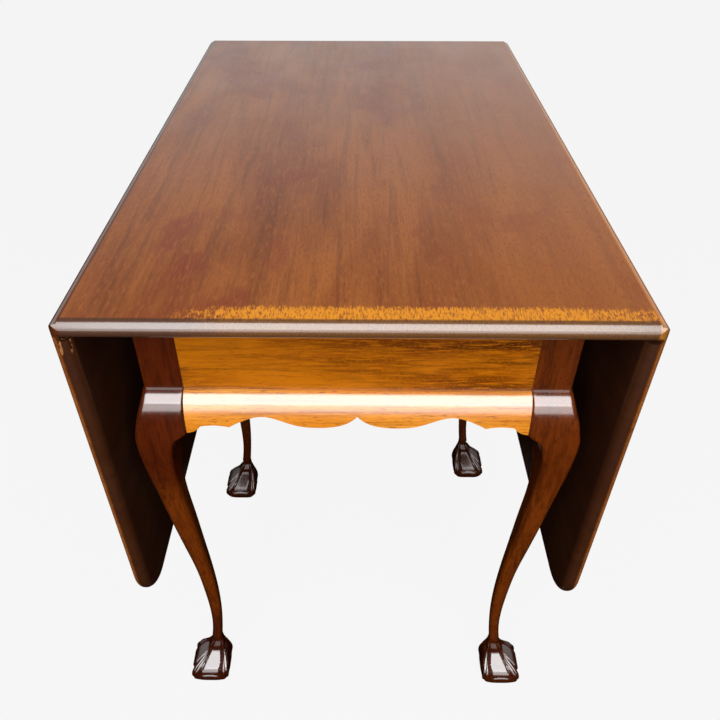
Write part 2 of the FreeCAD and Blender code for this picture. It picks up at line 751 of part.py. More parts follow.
# ---- the whole table ---------------------------------------------------------------------------------
def save_leaves():
    """Everything that turns with a leaf; the left leaf is the right one turned half round."""
    leaf = hung(raised_leaf())
    flaps = [hung(leaf_flap(y)) for y in HINGE_Y]
    screws = [hung(s) for y in HINGE_Y for s in leaf_flap_screws(y)]
    for side in ("right", "left"):
        angle = 0.0 if side == "right" else 180.0
        save("leaf_%s" % side, turned(leaf, angle))
        save("hinge_leaf_flaps_%s" % side, *[turned(f, angle) for f in flaps])
        save("hinge_leaf_screws_%s" % side, *[turned(s, angle) for s in screws])
        save("leaf_stop_%s" % side, turned(hung(raised_stop(side)), angle))


def save_hinges():
    flaps = [top_flap(y) for y in HINGE_Y]
    pins = [hinge_pin(y) for y in HINGE_Y]
    screws = [s for y in HINGE_Y for s in top_flap_screws(y)]
    for side in ("right", "left"):
        angle = 0.0 if side == "right" else 180.0
        save("hinge_top_flaps_%s" % side, *[turned(f, angle) for f in flaps])
        save("hinge_pins_%s" % side, *[turned(p, angle) for p in pins])
        save("hinge_top_screws_%s" % side, *[turned(s, angle) for s in screws])


def save_legs():
    for end, side_y in (("near", -1), ("far", 1)):
        for side, side_x in (("left", -1), ("right", 1)):
            save("leg_%s_%s" % (end, side), corner_leg(side_x, side_y))
    for side in ("left", "right"):
        save("swing_leg_%s" % side, swing_leg(side))


def save_frame():
    for end, near in (("near", True), ("far", False)):
        save("end_rail_%s" % end, mirrored(end_rail(), across_y=near))
        save("end_skirt_%s" % end, mirrored(end_skirt(), across_y=near))
        save("cross_bearer_%s" % end, mirrored(cross_bearer(), across_y=near))
    for side in ("left", "right"):
        save("inner_side_rail_%s" % side, mirrored(inner_side_rail(), across_x=(side == "left")))
        save("outer_side_rail_%s" % side, outer_side_rail(side))
        save("hinge_rail_%s" % side, hinge_rail(side))
        save("fly_rail_%s" % side, fly_rail(side))
        save("gate_pin_%s" % side, gate_pin(side))
    signs = [(x, y) for x in (False, True) for y in (False, True)]
    save("corner_glue_blocks", *[mirrored(corner_block(), x, y) for x, y in signs])
    save("top_fixing_blocks", *fixing_blocks())
    save("top_fixing_screws", *fixing_screws())


os.makedirs("parts", exist_ok=True)
save("table_top", table_top())
save_leaves()
save_hinges()
save_legs()
save_frame()
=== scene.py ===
"""Drop leaf table in old French-polished mahogany: carving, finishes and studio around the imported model.

Lengths are in metres.  X runs across the table, Y along it and Z up from the floor.
"""
import math

import bpy
import numpy as np
from bpy.props import FloatProperty, FloatVectorProperty, IntProperty, PointerProperty
from mathutils import Euler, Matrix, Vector
from mathutils.geometry import convex_hull_2d


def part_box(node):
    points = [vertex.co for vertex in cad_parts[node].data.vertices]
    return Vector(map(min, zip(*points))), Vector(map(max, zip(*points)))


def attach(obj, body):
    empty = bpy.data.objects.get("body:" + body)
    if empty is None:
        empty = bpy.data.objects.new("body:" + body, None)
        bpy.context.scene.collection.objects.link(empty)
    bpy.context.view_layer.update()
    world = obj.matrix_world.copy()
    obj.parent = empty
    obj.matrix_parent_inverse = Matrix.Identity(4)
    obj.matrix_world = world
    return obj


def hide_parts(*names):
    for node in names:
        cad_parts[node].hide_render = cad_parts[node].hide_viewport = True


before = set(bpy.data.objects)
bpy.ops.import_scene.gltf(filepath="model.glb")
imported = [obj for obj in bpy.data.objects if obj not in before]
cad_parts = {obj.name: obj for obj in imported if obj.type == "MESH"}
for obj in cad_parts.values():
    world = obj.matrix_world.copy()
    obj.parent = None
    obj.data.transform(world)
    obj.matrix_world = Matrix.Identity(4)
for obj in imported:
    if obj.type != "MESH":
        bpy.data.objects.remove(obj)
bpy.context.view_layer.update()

bl_info = {
    "name": "Drop leaf table",
    "version": (1, 0, 0),
    "blender": (4, 5, 0),
    "location": "View3D > Sidebar > Table",
    "description": "Carves the legs of a drop leaf table and gives it its woods, irons and studio",
    "category": "Object",
}

MM = 0.001
SKIN = 0.1 * MM                 # ends of the carved legs stop this far inside the plain ones

# Carving of a foot: shares run from a corner of the leg (0) to the middle of its side (1).
CLAW_FADE = 12 * MM             # height over which the carving dies away up the ankle
CLAW_WIDTH = 0.10
CLAW_IN = 0.10
CLAW_TOE = (6 * MM, 4 * MM)     # a claw thins over this much below and above its foot
HOLLOW_WIDTH = 6 * MM
LIP_ROUND = (0.8 * MM, 0.4 * MM)    # the web's edge is rounded over this much below and above
LIP_SHADE = 7 * MM              # height of the cut under the web's edge
BALL_MIDDLE = 9 * MM
BALL_HEIGHT = 5 * MM

# Rings of the leg mesh.
CORNER_ANGLE = math.radians(45)     # from the middle of a side to its corner
CORNER_CROWDING = 0.55          # share of the points that crowd towards the corners
FOOT_TOP = 72 * MM
KNEE_HEIGHT = 30 * MM
FOOT_STEP = 0.9 * MM
SHIN_STEP = 5 * MM
KNEE_STEP = 1.5 * MM
POST_FOOT = (SKIN, 1.5 * MM, 4.5 * MM)      # rings just above the ledge
CREASE_DEGREES = 32             # edges sharper than this stay sharp

# Where a tone begins and where it is full, as distances inwards from an edge of a board.
# A painted highlight along the near end of the top, drawn as golden wood where the polish is rubbed thin.
WORN_GLARE_BAND = (44 * MM, 20 * MM)
GLARE_FROM_LEFT = (10 * MM, 200 * MM)
GLARE_TO_RIGHT = (-300 * MM, 150 * MM)
# Painted shade on the rounded nose of the top.
NOSE = (11.5 * MM, 7 * MM)
# Painted shade along the left long edge of the top.
LEFT_EDGE_SHADE = (15 * MM, 12 * MM)
# Painted highlight along the right long edge of the top.
RIGHT_EDGE_GLARE = (13.5 * MM, 11.8 * MM)
CHIP_END = (9 * MM, 6 * MM)
CHIP_TOP = (60 * MM, 20 * MM)

# The same, across the table from its middle.
CHIPPED_SIDE = (0.0, -200 * MM)     # only the left leaf is chipped
SUNNED = (-50 * MM, 270 * MM)
PALE_BOARD = (0.0, 100 * MM)    # the legs on the right are of a paler board

# The same, up from the floor.
SHIN_LOW = (90 * MM, 180 * MM)
SHIN_HIGH = (500 * MM, 400 * MM)
DARK_FOOT = (100 * MM, 50 * MM)
ANKLE_LOW = (49 * MM, 56 * MM)
ANKLE_HIGH = (90 * MM, 74 * MM)

# Studio.
SOFTBOX_PLACE = (0.0, -2.15, 2.65)
SOFTBOX_SIZE = (3.2, 3.2)
SOFTBOX_TILT = 42
PANEL_PLACE = (0.0, -3.0, 0.86)
PANEL_SIZE = (3.2, 1.57)
PANEL_TILT = 90
WALL_TOP = math.radians(36)     # rise at which the far wall is all dark
WALL_FOOT = math.radians(13)    # and below which it is all bright
SIDE_LIGHT = 0.10               # brightness of the side walls, as a share of the far one
FLOOR_HALF = 14.0

LEGS = {
    "leg_near_left": "frame",
    "leg_near_right": "frame",
    "leg_far_left": "frame",
    "leg_far_right": "frame",
    "swing_leg_left": "left_gate",
    "swing_leg_right": "right_gate",
}
END_RAILS = ("end_rail_near", "end_rail_far")
END_SKIRTS = ("end_skirt_near", "end_skirt_far")
LEAVES = ("leaf_left", "leaf_right")
SIDES = ("left", "right")
ENDS = ("near", "far")
OAK = (
    "corner_glue_blocks",
    "top_fixing_blocks",
    *["cross_bearer_" + end for end in ENDS],
    *[piece + side for piece in ("inner_side_rail_", "outer_side_rail_") for side in SIDES],
    *[piece + side for piece in ("hinge_rail_", "fly_rail_", "leaf_stop_") for side in SIDES],
)
FLAPS = [piece + side for piece in ("hinge_top_flaps_", "hinge_leaf_flaps_") for side in SIDES]
SCREWS = ["top_fixing_screws"]
SCREWS += [piece + side for piece in ("hinge_top_screws_", "hinge_leaf_screws_") for side in SIDES]
PINS = [piece + side for piece in ("hinge_pins_", "gate_pin_") for side in SIDES]


def linear(hex_colour):
    """An sRGB hex colour as the linear colour, with alpha, that a socket takes."""
    parts = [int(hex_colour[i:i + 2], 16) / 255 for i in (1, 3, 5)]
    return tuple([p / 12.92 if p <= 0.04045 else ((p + 0.055) / 1.055) ** 2.4 for p in parts] + [1.0])


def colour(name, hex_colour, description):
    return FloatVectorProperty(
        name=name, description=description, subtype="COLOR", size=4, min=0.0, max=1.0,
        default=linear(hex_colour),
    )


def length(name, metres, description):
    return FloatProperty(name=name, description=description, default=metres, unit="LENGTH", min=0.0)


# ---- what a user may change ----------------------------------------------------------------------
class TABLE_PG_woods(bpy.types.PropertyGroup):
    """Colours of the woods and of their polish."""
    top_dark: colour("Top, dark streaks", "#4a220c", "Late wood and old stain in the top")
    top_mid: colour("Top", "#743c14", "Body colour of the top")
    top_light: colour("Top, pale streaks", "#8c5020", "Faded streaks in the top")
    top_red: colour("Top, red patches", "#6c2e16", "Patches where the old stain has stayed red")
    # Golden colour of the painted highlights on the top: the glare along the near end and the line along the
    # right edge.
    top_worn_glare: colour("Top, worn end", "#c47c1a", "Wood where the polish is rubbed thin along an end")
    # Colour of the painted shade on the rounded nose of the top.
    nose: colour("Top, nose", "#3a2a22", "Dirt that has gathered in the polish of the rounded ends")
    rail_dark: colour("Rail, dark streaks", "#341202", "Dark lines in the end rails")
    rail_mid: colour("Rail", "#662c01", "Body colour of the end rails")
    rail_light: colour("Rail, pale streaks", "#a05a06", "Golden lines in the end rails")
    skirt_dark: colour("Skirt, flecks", "#642404", "Flecks and lines in the end skirts")
    skirt_mid: colour("Skirt", "#ba6c0e", "Body colour of the end skirts")
    skirt_light: colour("Skirt, pale streaks", "#d89434", "Pale lines in the end skirts")
    leg_dark: colour("Leg, dark", "#240a02", "Stain gathered in the grain of the legs")
    leg_light: colour("Leg", "#481804", "Body colour of the legs")
    leg_pale: colour("Leg, paler board", "#682e07", "Body colour of the paler legs and of the rubbed shins")
    bare: colour("Bare wood", "#94623a", "Chips in the edges of the leaves")
    # Colour of the painted shade on the under side of a leaf.
    under: colour("Under side", "#1c0a05", "Dirt and stain on the under side of a leaf")
    oak_dark: colour("Oak, dark", "#3a2413", "Grain of the inner rails")
    oak_light: colour("Oak", "#7a5a36", "Body colour of the inner rails")


class TABLE_PG_carving(bpy.types.PropertyGroup):
    """Sizes of the carved feet."""
    claw_top: length("Claw top", 0.056, "Height at which a claw leaves the ankle")
    claw_foot: length("Claw foot", 0.010, "Height at which a claw ends on the ball")
    claw_rise: length("Claw rise", 0.0030, "How far a claw stands out of the foot")
    groove_depth: length("Groove depth", 0.0030, "Depth of the groove beside a claw")
    hollow_depth: length("Hollow depth", 0.0036, "How far the ankle is cut back above the web")
    hollow_height: length("Hollow height", 0.048, "Height of the deepest part of that cut")
    web_lip: length("Web lip", 0.0016, "How far the web stands over the ball at its lower edge")
    web_height: length("Web height", 0.0165, "Height of the web's lower edge beside the claws")
    web_arch: length("Web arch", 0.0055, "How far the web's lower edge rises in its middle")
    under_lip: length("Under the lip", 0.0030, "Depth of the ball's upper edge under the web")
    ball_rise: length("Ball rise", 0.0012, "How far the ball swells out near the floor")
    side_points: IntProperty(name="Points per side", description="Mesh points on each side of a leg",
                             default=32, min=8)


class TABLE_PG_stage(bpy.types.PropertyGroup):
    """Camera, lights and floor."""
    lens: FloatProperty(name="Lens", description="Focal length in millimetres", default=34.87)
    eye_height: length("Eye height", 1.0901, "Height of the camera")
    eye_back: length("Eye distance", 0.9462, "Camera to the middle of the table")
    eye_side: FloatProperty(name="Eye side", description="Camera to the right of the table's middle line",
                            default=-0.0016, unit="LENGTH")
    tilt: FloatProperty(name="Tilt", description="Camera's angle below level",
                        default=math.radians(39.523), subtype="ANGLE")
    turn: FloatProperty(name="Turn", description="Camera's turn to the left",
                        default=math.radians(0.563), subtype="ANGLE")
    shift: FloatProperty(name="Shift", description="Sideways shift of the lens, as a share of the frame",
                         default=0.0127)
    softbox: FloatProperty(name="Softbox", description="Power of the high soft light in front, in watts",
                           default=200.0)
    panel: FloatProperty(name="Panel", description="Power of the low light panel in front, in watts",
                         default=46.0)
    floor: colour("Floor", "#f4f4f4", "Paper floor")
    floor_glow: FloatProperty(name="Floor glow", description="Light of the floor's own, as of a lit table",
                              default=0.99)
    wall: FloatProperty(name="Wall light", description="Brightness of the far wall near the horizon",
                        default=0.86)
    above: FloatProperty(name="Light above", description="Brightness of the room above the wall",
                         default=0.06)


def settings(group):
    return getattr(bpy.context.scene, "drop_leaf_" + group)


# ---- node and mesh helpers -------------------------------------------------------------------------
def add(tree, kind, inputs=None, out=None, **options):
    """Adds a node with its options and its inputs; gives it back, or one of its outputs if that is named."""
    node = tree.nodes.new(kind)
    for name, value in options.items():
        setattr(node, name, value)
    for key, value in (inputs or {}).items():
        if isinstance(value, bpy.types.NodeSocket):
            tree.links.new(value, node.inputs[key])
        else:
            node.inputs[key].default_value = value
    return node if out is None else node.outputs[out]


def new_material(name):
    material = bpy.data.materials.new(name)
    material.use_nodes = True
    material.node_tree.nodes.clear()
    return material


def dress(names, material):
    """Gives CAD nodes a finish."""
    for name in names:
        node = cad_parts[name]
        node.data.materials.clear()
        node.data.materials.append(material)


def stretch(axis, along_mm, across_mm):
    """Mapping scale that gives a noise one cell per along_mm on the grain's axis and across_mm elsewhere."""
    return tuple(1 / (MM * (along_mm if letter == axis else across_mm)) for letter in "XYZ")


# ---- wood ----------------------------------------------------------------------------------------------
def grain(tree, axis, along_mm, across_mm, shift=0.0, detail=3.0, distortion=0.0):
    """A noise drawn out along the grain, from 0 to 1."""
    place = add(tree, "ShaderNodeTexCoord", out="Object")
    mapped = add(tree, "ShaderNodeMapping", {
        "Vector": place,
        "Location": (shift, shift * 1.7, shift * 2.3),
        "Scale": stretch(axis, along_mm, across_mm),
    }, "Vector")
    return add(tree, "ShaderNodeTexNoise", {
        "Vector": mapped, "Scale": 1.0, "Detail": detail, "Distortion": distortion,
    }, "Fac")


def along(tree, axis, start, full):
    """0 up to one distance along an axis of the table and 1 from another on, smooth between them."""
    place = add(tree, "ShaderNodeTexCoord", out="Object")
    distance = add(tree, "ShaderNodeSeparateXYZ", {"Vector": place}, axis)
    return add(tree, "ShaderNodeMapRange", {
        "Value": distance, "From Min": start, "From Max": full,
    }, "Result", interpolation_type="SMOOTHSTEP")


def inwards(tree, axis, edge, start, full):
    """The same, with the distances taken from an edge of a board towards the table's middle."""
    turn = -1 if edge > 0 else 1
    return along(tree, axis, edge + turn * start, edge + turn * full)


def stain(tree, base, tone, pattern, low, high, most=1.0):
    """Lays a tone over a colour where a pattern rises from low to high."""
    amount = add(tree, "ShaderNodeMapRange", {
        "Value": pattern, "From Min": low, "From Max": high, "To Max": most,
    }, "Result", interpolation_type="SMOOTHSTEP")
    return add(tree, "ShaderNodeMix", {0: amount, 6: base, 7: tone}, 2, data_type="RGBA")


def meeting(tree, *masks):
    """Where all of some masks are 1."""
    result = masks[0]
    for mask in masks[1:]:
        result = add(tree, "ShaderNodeMath", {0: result, 1: mask}, "Value", operation="MULTIPLY")
    return result


def wood_figure(tree, axis, dark, body, pale, shift, contrast):
    """Ribbons, streaks, fine lines and pores of a mahogany board, and the pores alone."""
    layers = (
        # along, across, detail, twist: from, to, most, tone
        ((340.0, 62.0, 2.0, 0.8), (0.30, 0.70, 1.0, pale)),
        ((240.0, 10.0, 4.0, 0.6), (0.46, 0.74, contrast, dark)),
        ((150.0, 4.5, 3.0, 0.4), (0.52, 0.72, contrast * 0.8, pale)),
        ((70.0, 2.0, 3.0, 0.0), (0.48, 0.74, contrast * 0.8, dark)),
    )
    base = body
    for step, ((along_mm, across_mm, detail, twist), (low, high, most, tone)) in enumerate(layers):
        pattern = grain(tree, axis, along_mm, across_mm, shift + 3.0 * step, detail, twist)
        base = stain(tree, base, tone, pattern, low, high, most)
    # Real pores are a quarter of a millimetre wide; these are wide enough to be seen.
    pores = grain(tree, axis, 9.0, 0.9, shift + 17.0, 2.0)
    return stain(tree, base, dark, pores, 0.56, 0.72, contrast * 0.9), pores


def polished(tree, base, pores, roughness, coat, dullness, gloss=1.7):
    """Old shellac over wood: a clear coat, a slightly uneven surface and grain that has sunk in a little.

    The wood itself mirrors little under the shellac, because the two bend light alike.
    Gloss is the coat's IOR. It is above shellac's own 1.52, so that highlights are as strong as on old,
    much waxed furniture.
    """
    hands = grain(tree, "Y", 80.0, 60.0, 5.0, 3.0)
    wavy = grain(tree, "Y", 40.0, 18.0, 2.0, 1.0)
    uneven = add(tree, "ShaderNodeBump", {"Height": wavy, "Strength": 0.12, "Distance": 0.6 * MM}, "Normal")
    sunk = add(tree, "ShaderNodeBump", {
        "Height": pores, "Strength": 0.4, "Distance": 0.2 * MM, "Normal": uneven,
    }, "Normal", invert=True)
    rubbed = add(tree, "ShaderNodeMapRange", {
        "Value": hands, "From Min": 0.3, "From Max": 0.7, "To Min": roughness[0], "To Max": roughness[1],
    }, "Result")
    shader = add(tree, "ShaderNodeBsdfPrincipled", {
        "Base Color": base,
        "Roughness": rubbed,
        "IOR": 1.52,
        "Specular IOR Level": 0.15,
        "Coat Weight": coat,
        "Coat Roughness": dullness,
        "Coat IOR": gloss,
        "Normal": sunk,
        "Coat Normal": uneven,
    }, "BSDF")
    add(tree, "ShaderNodeOutputMaterial", {"Surface": shader})


def polished_mahogany_top():
    """Mahogany board, French polished and sunned: streaks along it; a painted highlight along the near end,
    drawn as golden wood where the polish is rubbed thin, and a thinner one along the right edge; painted
    shade on the rounded nose and along the left edge.
    """
    woods = settings("woods")
    material = new_material("mahogany_french_polished_top")
    tree = material.node_tree
    base, pores = wood_figure(tree, "Y", woods.top_dark, woods.top_mid, woods.top_light, 1.0, 0.45)
    base = stain(tree, base, woods.top_red, grain(tree, "Y", 150.0, 80.0, 41.0, 3.0, 1.0), 0.50, 0.66, 0.7)
    base = stain(tree, base, woods.top_light, grain(tree, "Y", 14.0, 3.0, 51.0, 4.0), 0.50, 0.72, 0.6)
    base = stain(tree, base, woods.top_light, along(tree, "X", *SUNNED), 0.0, 1.0, 0.5)
    low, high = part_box("table_top")
    # Painted highlight: the glare along the near end, laid on as golden wood where the polish is rubbed
    # thin.
    rubbed = meeting(
        tree,
        inwards(tree, "Y", low.y, *WORN_GLARE_BAND),
        inwards(tree, "X", low.x, *GLARE_FROM_LEFT),
        inwards(tree, "X", high.x, *GLARE_TO_RIGHT),
        grain(tree, "Y", 5.0, 1.4, 21.0, 4.0),
    )
    base = stain(tree, base, woods.top_worn_glare, rubbed, 0.30, 0.52)
    base = stain(tree, base, woods.top_red, grain(tree, "Y", 7.0, 1.8, 33.0, 3.0), 0.52, 0.68, 0.5)
    nose = inwards(tree, "Y", low.y, *NOSE)
    # Painted shade: the rounded nose is darkened, as its lower half turns away from the light.
    base = stain(tree, base, woods.nose, nose, 0.0, 1.0, 0.85)
    # Painted shade: a dark line along the left long edge of the top.
    base = stain(tree, base, woods.top_dark, inwards(tree, "X", low.x, *LEFT_EDGE_SHADE), 0.0, 1.0, 0.9)
    # Painted highlight: a thin golden line along the right long edge, where its rounding catches the light.
    right_edge_glare = inwards(tree, "X", high.x, *RIGHT_EDGE_GLARE)
    base = stain(tree, base, woods.top_worn_glare, right_edge_glare, 0.0, 1.0, 0.35)
    shine = add(tree, "ShaderNodeMapRange", {"Value": nose, "To Min": 0.7, "To Max": 1.0}, "Result")
    polished(tree, base, pores, (0.30, 0.42), shine, 0.2, 1.74)
    return material


def polished_mahogany_leaf(side):
    """The same board as the top on its show face, and near-black on its under side with painted shade."""
    woods = settings("woods")
    material = new_material("mahogany_french_polished_%s" % side)
    tree = material.node_tree
    base, pores = wood_figure(tree, "Y", woods.top_dark, woods.top_mid, woods.top_light, 4.0, 0.5)
    low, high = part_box(side)
    inner, outer = (low.x, high.x) if high.x > 0 else (high.x, low.x)
    middle = (inner + outer) / 2
    # Painted shade: the under side of a hanging leaf faces the frame and lies in the table's shadow.
    under = along(tree, "X", middle + (outer - inner) * 0.3, middle)
    base = stain(tree, base, woods.under, under, 0.0, 1.0, 0.9)
    chipped = meeting(
        tree,
        inwards(tree, "Y", low.y, *CHIP_END),
        inwards(tree, "Z", high.z, *CHIP_TOP),
        along(tree, "X", *CHIPPED_SIDE),
        grain(tree, "Z", 9.0, 3.0, 61.0, 3.0),
    )
    base = stain(tree, base, woods.bare, chipped, 0.54, 0.62, 0.8)
    polished(tree, base, pores, (0.32, 0.5), 0.35, 0.25)
    return material


def polished_mahogany_rail():
    """Straight-grained mahogany whose grain runs across the end of the table, its polish clear and warm."""
    woods = settings("woods")
    material = new_material("mahogany_french_polished_rail")
    tree = material.node_tree
    base, pores = wood_figure(tree, "X", woods.rail_dark, woods.rail_mid, woods.rail_light, 2.0, 0.55)
    base = stain(tree, base, woods.rail_dark, grain(tree, "X", 420.0, 24.0, 81.0, 3.0, 0.6), 0.48, 0.70, 0.7)
    base = stain(tree, base, woods.rail_light, grain(tree, "X", 30.0, 2.4, 71.0, 4.0), 0.50, 0.66, 0.8)
    base = stain(tree, base, woods.rail_light, grain(tree, "X", 3.0, 1.3, 75.0, 3.0), 0.54, 0.68, 0.6)
    polished(tree, base, pores, (0.28, 0.4), 0.3, 0.13)
    return material


def polished_mahogany_skirt():
    """Paler mahogany of the shaped skirts, with short dark flecks along the grain."""
    woods = settings("woods")
    material = new_material("mahogany_french_polished_skirt")
    tree = material.node_tree
    base, pores = wood_figure(tree, "X", woods.skirt_dark, woods.skirt_mid, woods.skirt_light, 6.0, 0.5)
    base = stain(tree, base, woods.skirt_dark, grain(tree, "X", 11.0, 1.5, 91.0, 3.0), 0.58, 0.72, 0.8)
    polished(tree, base, pores, (0.26, 0.4), 1.0, 0.22, 2.1)
    return material


def polished_mahogany_leg(name, coat, shade_and_dirt):
    """Dense dark mahogany of the legs, paler on the shins and darker towards the floor; on the swing legs a
    painted shade darkens it all over.
    """
    woods = settings("woods")
    material = new_material(name)
    tree = material.node_tree
    shin = meeting(tree, along(tree, "Z", *SHIN_LOW), along(tree, "Z", *SHIN_HIGH))
    right = along(tree, "X", *PALE_BOARD)
    board = stain(tree, woods.leg_light, woods.leg_pale, right, 0.0, 1.0, 0.5)
    body = stain(tree, board, woods.leg_pale, shin, 0.0, 1.0, 0.8)
    base, pores = wood_figure(tree, "Z", woods.leg_dark, body, body, 8.0, 0.55)
    base = stain(tree, base, woods.leg_dark, grain(tree, "Z", 22.0, 7.0, 99.0, 4.0, 1.0), 0.45, 0.7, 0.4)
    base = stain(tree, base, woods.leg_dark, along(tree, "Z", *DARK_FOOT), 0.0, 1.0, 0.7)
    # This range lies under the whole pattern, so the painted shade on the swing legs is even all over.
    base = stain(tree, base, woods.leg_dark, grain(tree, "Z", 300.0, 300.0), -1.0, -0.9, shade_and_dirt)
    grimy = meeting(tree, along(tree, "Z", *ANKLE_LOW), along(tree, "Z", *ANKLE_HIGH))
    shine = add(tree, "ShaderNodeMapRange", {"Value": grimy, "To Min": coat, "To Max": 0.12}, "Result")
    polished(tree, base, pores, (0.2, 0.34), shine, 0.16, 1.95)
    return material


def sawn_oak():
    """Oak sawn for the inside of the frame, never polished: open grain, dry and grey with age."""
    woods = settings("woods")
    material = new_material("oak_sawn_aged")
    tree = material.node_tree
    bands = grain(tree, "Y", 300.0, 9.0, 3.0, 4.0, 0.5)
    rays = grain(tree, "Y", 25.0, 1.5, 13.0, 3.0)
    base = stain(tree, woods.oak_light, woods.oak_dark, bands, 0.35, 0.7)
    base = stain(tree, base, woods.oak_dark, rays, 0.55, 0.7)
    rough = add(tree, "ShaderNodeBump", {
        "Height": rays, "Strength": 0.4, "Distance": 0.3 * MM,
    }, "Normal", invert=True)
    dry = add(tree, "ShaderNodeMapRange", {"Value": bands, "To Min": 0.6, "To Max": 0.85}, "Result")
    shader = add(tree, "ShaderNodeBsdfPrincipled", {
        "Base Color": base, "Roughness": dry, "IOR": 1.5, "Normal": rough,
    }, "BSDF")
    add(tree, "ShaderNodeOutputMaterial", {"Surface": shader})
    return material


def old_iron(name, bright_hex, rust_hex, roughness):
    """Iron with a dark oxide skin: dull, slightly pitted, rust showing through in small patches."""
    material = new_material(name)
    tree = material.node_tree
    skin = grain(tree, "X", 6.0, 6.0, 3.0, 4.0)
    pits = grain(tree, "X", 1.2, 1.2, 6.0, 3.0)
    base = stain(tree, linear(bright_hex), linear(rust_hex), skin, 0.5, 0.68)
    dents = add(tree, "ShaderNodeBump", {"Height": pits, "Strength": 0.3, "Distance": 0.1 * MM}, "Normal")
    bare = add(tree, "ShaderNodeMapRange", {
        "Value": skin, "From Min": 0.5, "From Max": 0.68, "To Min": 1.0, "To Max": 0.1,
    }, "Result")
    dull = add(tree, "ShaderNodeMapRange", {
        "Value": pits, "From Min": 0.3, "From Max": 0.7, "To Min": roughness, "To Max": roughness + 0.2,
    }, "Result")
    shader = add(tree, "ShaderNodeBsdfPrincipled", {
        "Base Color": base, "Metallic": bare, "Roughness": dull, "Normal": dents,
    }, "BSDF")
    add(tree, "ShaderNodeOutputMaterial", {"Surface": shader})
    return material


# ---- legs ----------------------------------------------------------------------------------------------
def mesh_edges(node):
    """Both end points of every edge of a CAD node."""
    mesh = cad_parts[node].data
    points = np.array([v.co for v in mesh.vertices])
    pairs = np.array([e.vertices[:] for e in mesh.edges])
    return points[pairs[:, 0]], points[pairs[:, 1]]


def slice_points(edges, z):
    """Where a level plane cuts a node's edges."""
    start, end = edges
    cut = (start[:, 2] - z) * (end[:, 2] - z) < 0
    a, b = start[cut], end[cut]
    share = (z - a[:, 2]) / (b[:, 2] - a[:, 2])
    return a + (b - a) * share[:, None]


def outline_at(edges, z):
    """Outline of a leg at a height, as corners in order, and its middle."""
    points = slice_points(edges, z)[:, :2]
    outline = points[convex_hull_2d([tuple(p) for p in points])]
    return outline, (outline.min(0) + outline.max(0)) / 2


def ring_angles(count):
    """Angles across one side, from corner to corner, closer together near the corners."""
    shares = [2 * i / count - 1 for i in range(count)]
    even = 1 - CORNER_CROWDING
    crowded = [even * s + CORNER_CROWDING * math.sin(s * math.pi / 2) for s in shares]
    return [CORNER_ANGLE * share for share in crowded]


def reach_of(outline, middle, directions):
    """How far an outline lies from its middle in each direction."""
    start = outline - middle
    run = np.roll(start, -1, axis=0) - start
    turn = start[:, 0] * run[:, 1] - start[:, 1] * run[:, 0]
    across = directions[:, :1] * run[:, 1] - directions[:, 1:] * run[:, 0]
    with np.errstate(divide="ignore", invalid="ignore"):
        reach = turn / across
    return np.where(reach > 0, reach, np.inf).min(axis=1)


def ramp(value, low, high):
    """0 below low and 1 above high, smooth between them."""
    share = min(max((value - low) / (high - low), 0.0), 1.0)
    return share * share * (3 - 2 * share)


def bump(value, middle, width):
    """A rounded hill, 1 at its middle."""
    return math.exp(-((value - middle) / width) ** 2)


def carved(share, z, carving):
    """How far the carving stands out of the foot, across a side (-1 to 1, corner to corner) at a height."""
    from_corner = 1 - abs(share)
    fade = ramp(z, carving.claw_top + CLAW_FADE, carving.claw_top - CLAW_FADE / 2)
    claw_width = CLAW_WIDTH * (1.6 - z / carving.claw_top)
    claw_length = ramp(z, carving.claw_foot - CLAW_TOE[0], carving.claw_foot + CLAW_TOE[1])
    claw = carving.claw_rise * bump(from_corner, CLAW_IN, claw_width) * (0.4 + 0.6 * claw_length)
    inside = ramp(from_corner, CLAW_IN + 1.8 * claw_width, CLAW_IN + 3.0 * claw_width)
    below = ramp(from_corner, CLAW_IN, CLAW_IN + 4.0 * claw_width)
    lip_height = carving.web_height + carving.web_arch * math.cos(share * math.pi / 2)
    over_lip = ramp(z, lip_height - LIP_ROUND[0], lip_height + LIP_ROUND[1])
    groove_place = CLAW_IN + 2.0 * claw_width
    groove = -carving.groove_depth * bump(from_corner, groove_place, 0.7 * claw_width) * over_lip
    hollow = -carving.hollow_depth * inside * bump(z, carving.hollow_height, HOLLOW_WIDTH)
    web = carving.web_lip * over_lip * inside
    shade = ramp(z, lip_height - LIP_SHADE, lip_height) * (1 - over_lip)
    under_lip = -carving.under_lip * below * shade
    ball = carving.ball_rise * below * bump(z, BALL_MIDDLE, BALL_HEIGHT)
    return fade * (claw + groove + hollow + web) + under_lip + ball


def leg_ring(edges, z, carving):
    """One ring of mesh points round a leg, and how far across its side each lies, from -1 to 1."""
    angles = ring_angles(carving.side_points)
    turns = np.array([side * math.pi / 2 + angle for side in range(4) for angle in angles])
    directions = np.stack([np.cos(turns), np.sin(turns)], axis=1)
    outline, middle = outline_at(edges, z)
    reach = reach_of(outline, middle, directions)
    if z < carving.claw_top + CLAW_FADE:
        shares = [angle / CORNER_ANGLE for angle in angles] * 4
        reach = reach + np.array([carved(share, z, carving) for share in shares])
    ring = middle + directions * reach[:, None]
    return [(x, y, z) for x, y in ring]


def leg_heights(ledge):
    """Heights of the rings, close together in the foot and just under the ledge."""
    knee_foot = ledge - KNEE_HEIGHT
    foot = list(np.arange(SKIN, FOOT_TOP, FOOT_STEP))
    shin = list(np.arange(FOOT_TOP, knee_foot, SHIN_STEP))
    knee = list(np.arange(knee_foot, ledge, KNEE_STEP))
    return foot + shin + knee + [ledge - SKIN]


